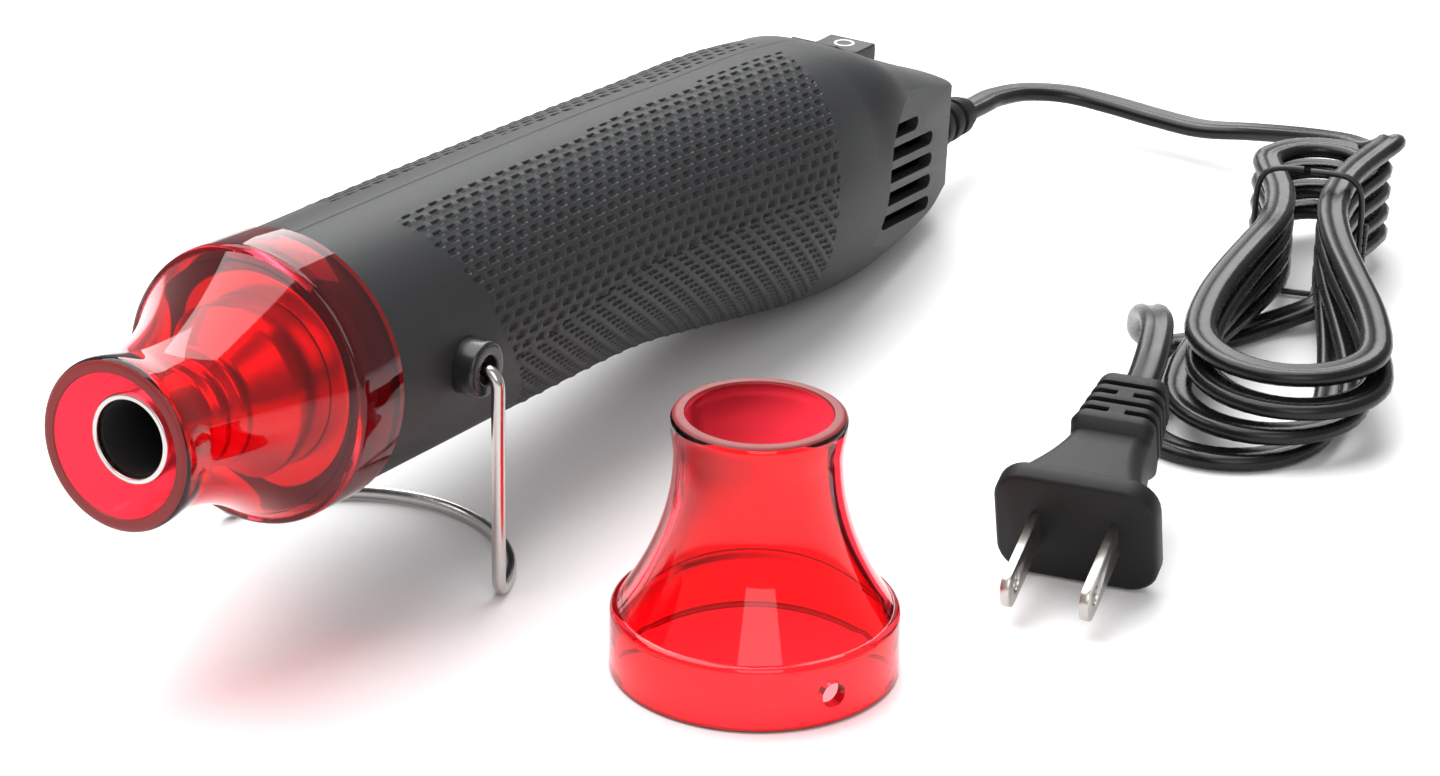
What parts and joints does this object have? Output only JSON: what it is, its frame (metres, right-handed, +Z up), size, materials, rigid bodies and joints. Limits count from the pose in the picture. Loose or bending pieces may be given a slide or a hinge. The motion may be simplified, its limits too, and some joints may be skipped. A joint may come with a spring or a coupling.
{
  "type": "embossing heat tool",
  "caption": "Hand-held embossing heat tool with a wire stand, translucent nozzle guard, spare guard, rocker switch and a tied two-core cord with plug.",
  "frame": {"origin": "middle of the footprint of the tool and its spare guard, on the surface they stand on", "axes": "+X from the nozzle to the cord's end of the tool, +Z up, spare guard and cord on the -Y side"},
  "size_m": [0.296, 0.1482, 0.0626],
  "materials": {
    "housing_charcoal": "moulded, matte, fine cell grip",
    "collar_black": "matte",
    "guard_red": "translucent, polished",
    "nozzle_steel": "turned steel, satin",
    "mica_tan": "pressed mica",
    "heater_wire": "bare resistance wire",
    "motor_steel": "plated",
    "duct_cream": "heat-proof moulding",
    "fan_grey": "moulded",
    "copper": "wound",
    "magnet_grey": "ferrite",
    "board_green": "lacquered board",
    "diode_black": "moulded",
    "switch_black": "satin",
    "brass_tabs": "plain",
    "lead_brown": "sheathed",
    "wire_nickel": "nickel plated",
    "boss_black": "glossy",
    "cord_black": "semi-gloss sheath",
    "tie_black": "plain",
    "plug_black": "matte moulding",
    "blade_nickel": "nickel plated"
  },
  "bodies": {
    "root": {"housing_left": "housing_charcoal", "housing_right": "housing_charcoal", "front_collar": "collar_black", "nozzle_tube": "nozzle_steel", "heater_flange": "nozzle_steel", "insulator_sleeve": "mica_tan", "mica_board_upright": "mica_tan", "mica_board_level": "mica_tan", "heating_coil": "heater_wire", "thermal_cutout": "motor_steel", "fan_duct": "duct_cream", "motor_magnets": "magnet_grey", "motor_can": "motor_steel", "motor_end_cap": "collar_black", "rectifier_board": "board_green", "rectifier_diodes": "diode_black", "switch_body": "switch_black", "switch_terminals": "brass_tabs", "supply_leads": "lead_brown", "stand_boss_left": "boss_black", "stand_boss_right": "boss_black", "housing_screws": "motor_steel", "strain_relief": "cord_black", "power_cord": "cord_black", "cord_hank": "cord_black", "plug_cord": "cord_black", "cord_tie": "tie_black", "plug_body": "plug_black", "plug_blades": "blade_nickel"},
    "stand": {"stand_wire": "wire_nickel"},
    "rocker": {"rocker_button": "switch_black"},
    "fan": {"fan_impeller": "fan_grey", "motor_shaft": "motor_steel", "motor_rotor": "copper"},
    "guard": {"nozzle_guard": "guard_red"},
    "spare_guard": {"spare_nozzle_guard": "guard_red"}
  },
  "joints": [
    {"name": "stand_fold", "type": "hinge", "parent": "root", "child": "stand", "pos_m": [-0.07071, 0.0326, 0.03871], "axis": [0, 1, 0], "range_deg": [0, 94]},
    {"name": "switch_rock", "type": "hinge", "parent": "root", "child": "rocker", "pos_m": [0.0784, 0.0326, 0.03866], "axis": [0, 1, 0], "range_deg": [0, 22]},
    {"name": "fan_spin", "type": "hinge", "parent": "root", "child": "fan", "pos_m": [-0.04128, 0.0326, 0.03666], "axis": [0.9976, 0, -0.0698], "continuous": true},
    {"name": "guard_pull_off", "type": "slide", "parent": "root", "child": "guard", "axis": [-0.9976, 0, 0.0698], "range_m": [0, 0.065]},
    {"name": "spare_guard_lift", "type": "slide", "parent": "root", "child": "spare_guard", "axis": [0, 0, 1], "range_m": [0, 0.05]}
  ]
}
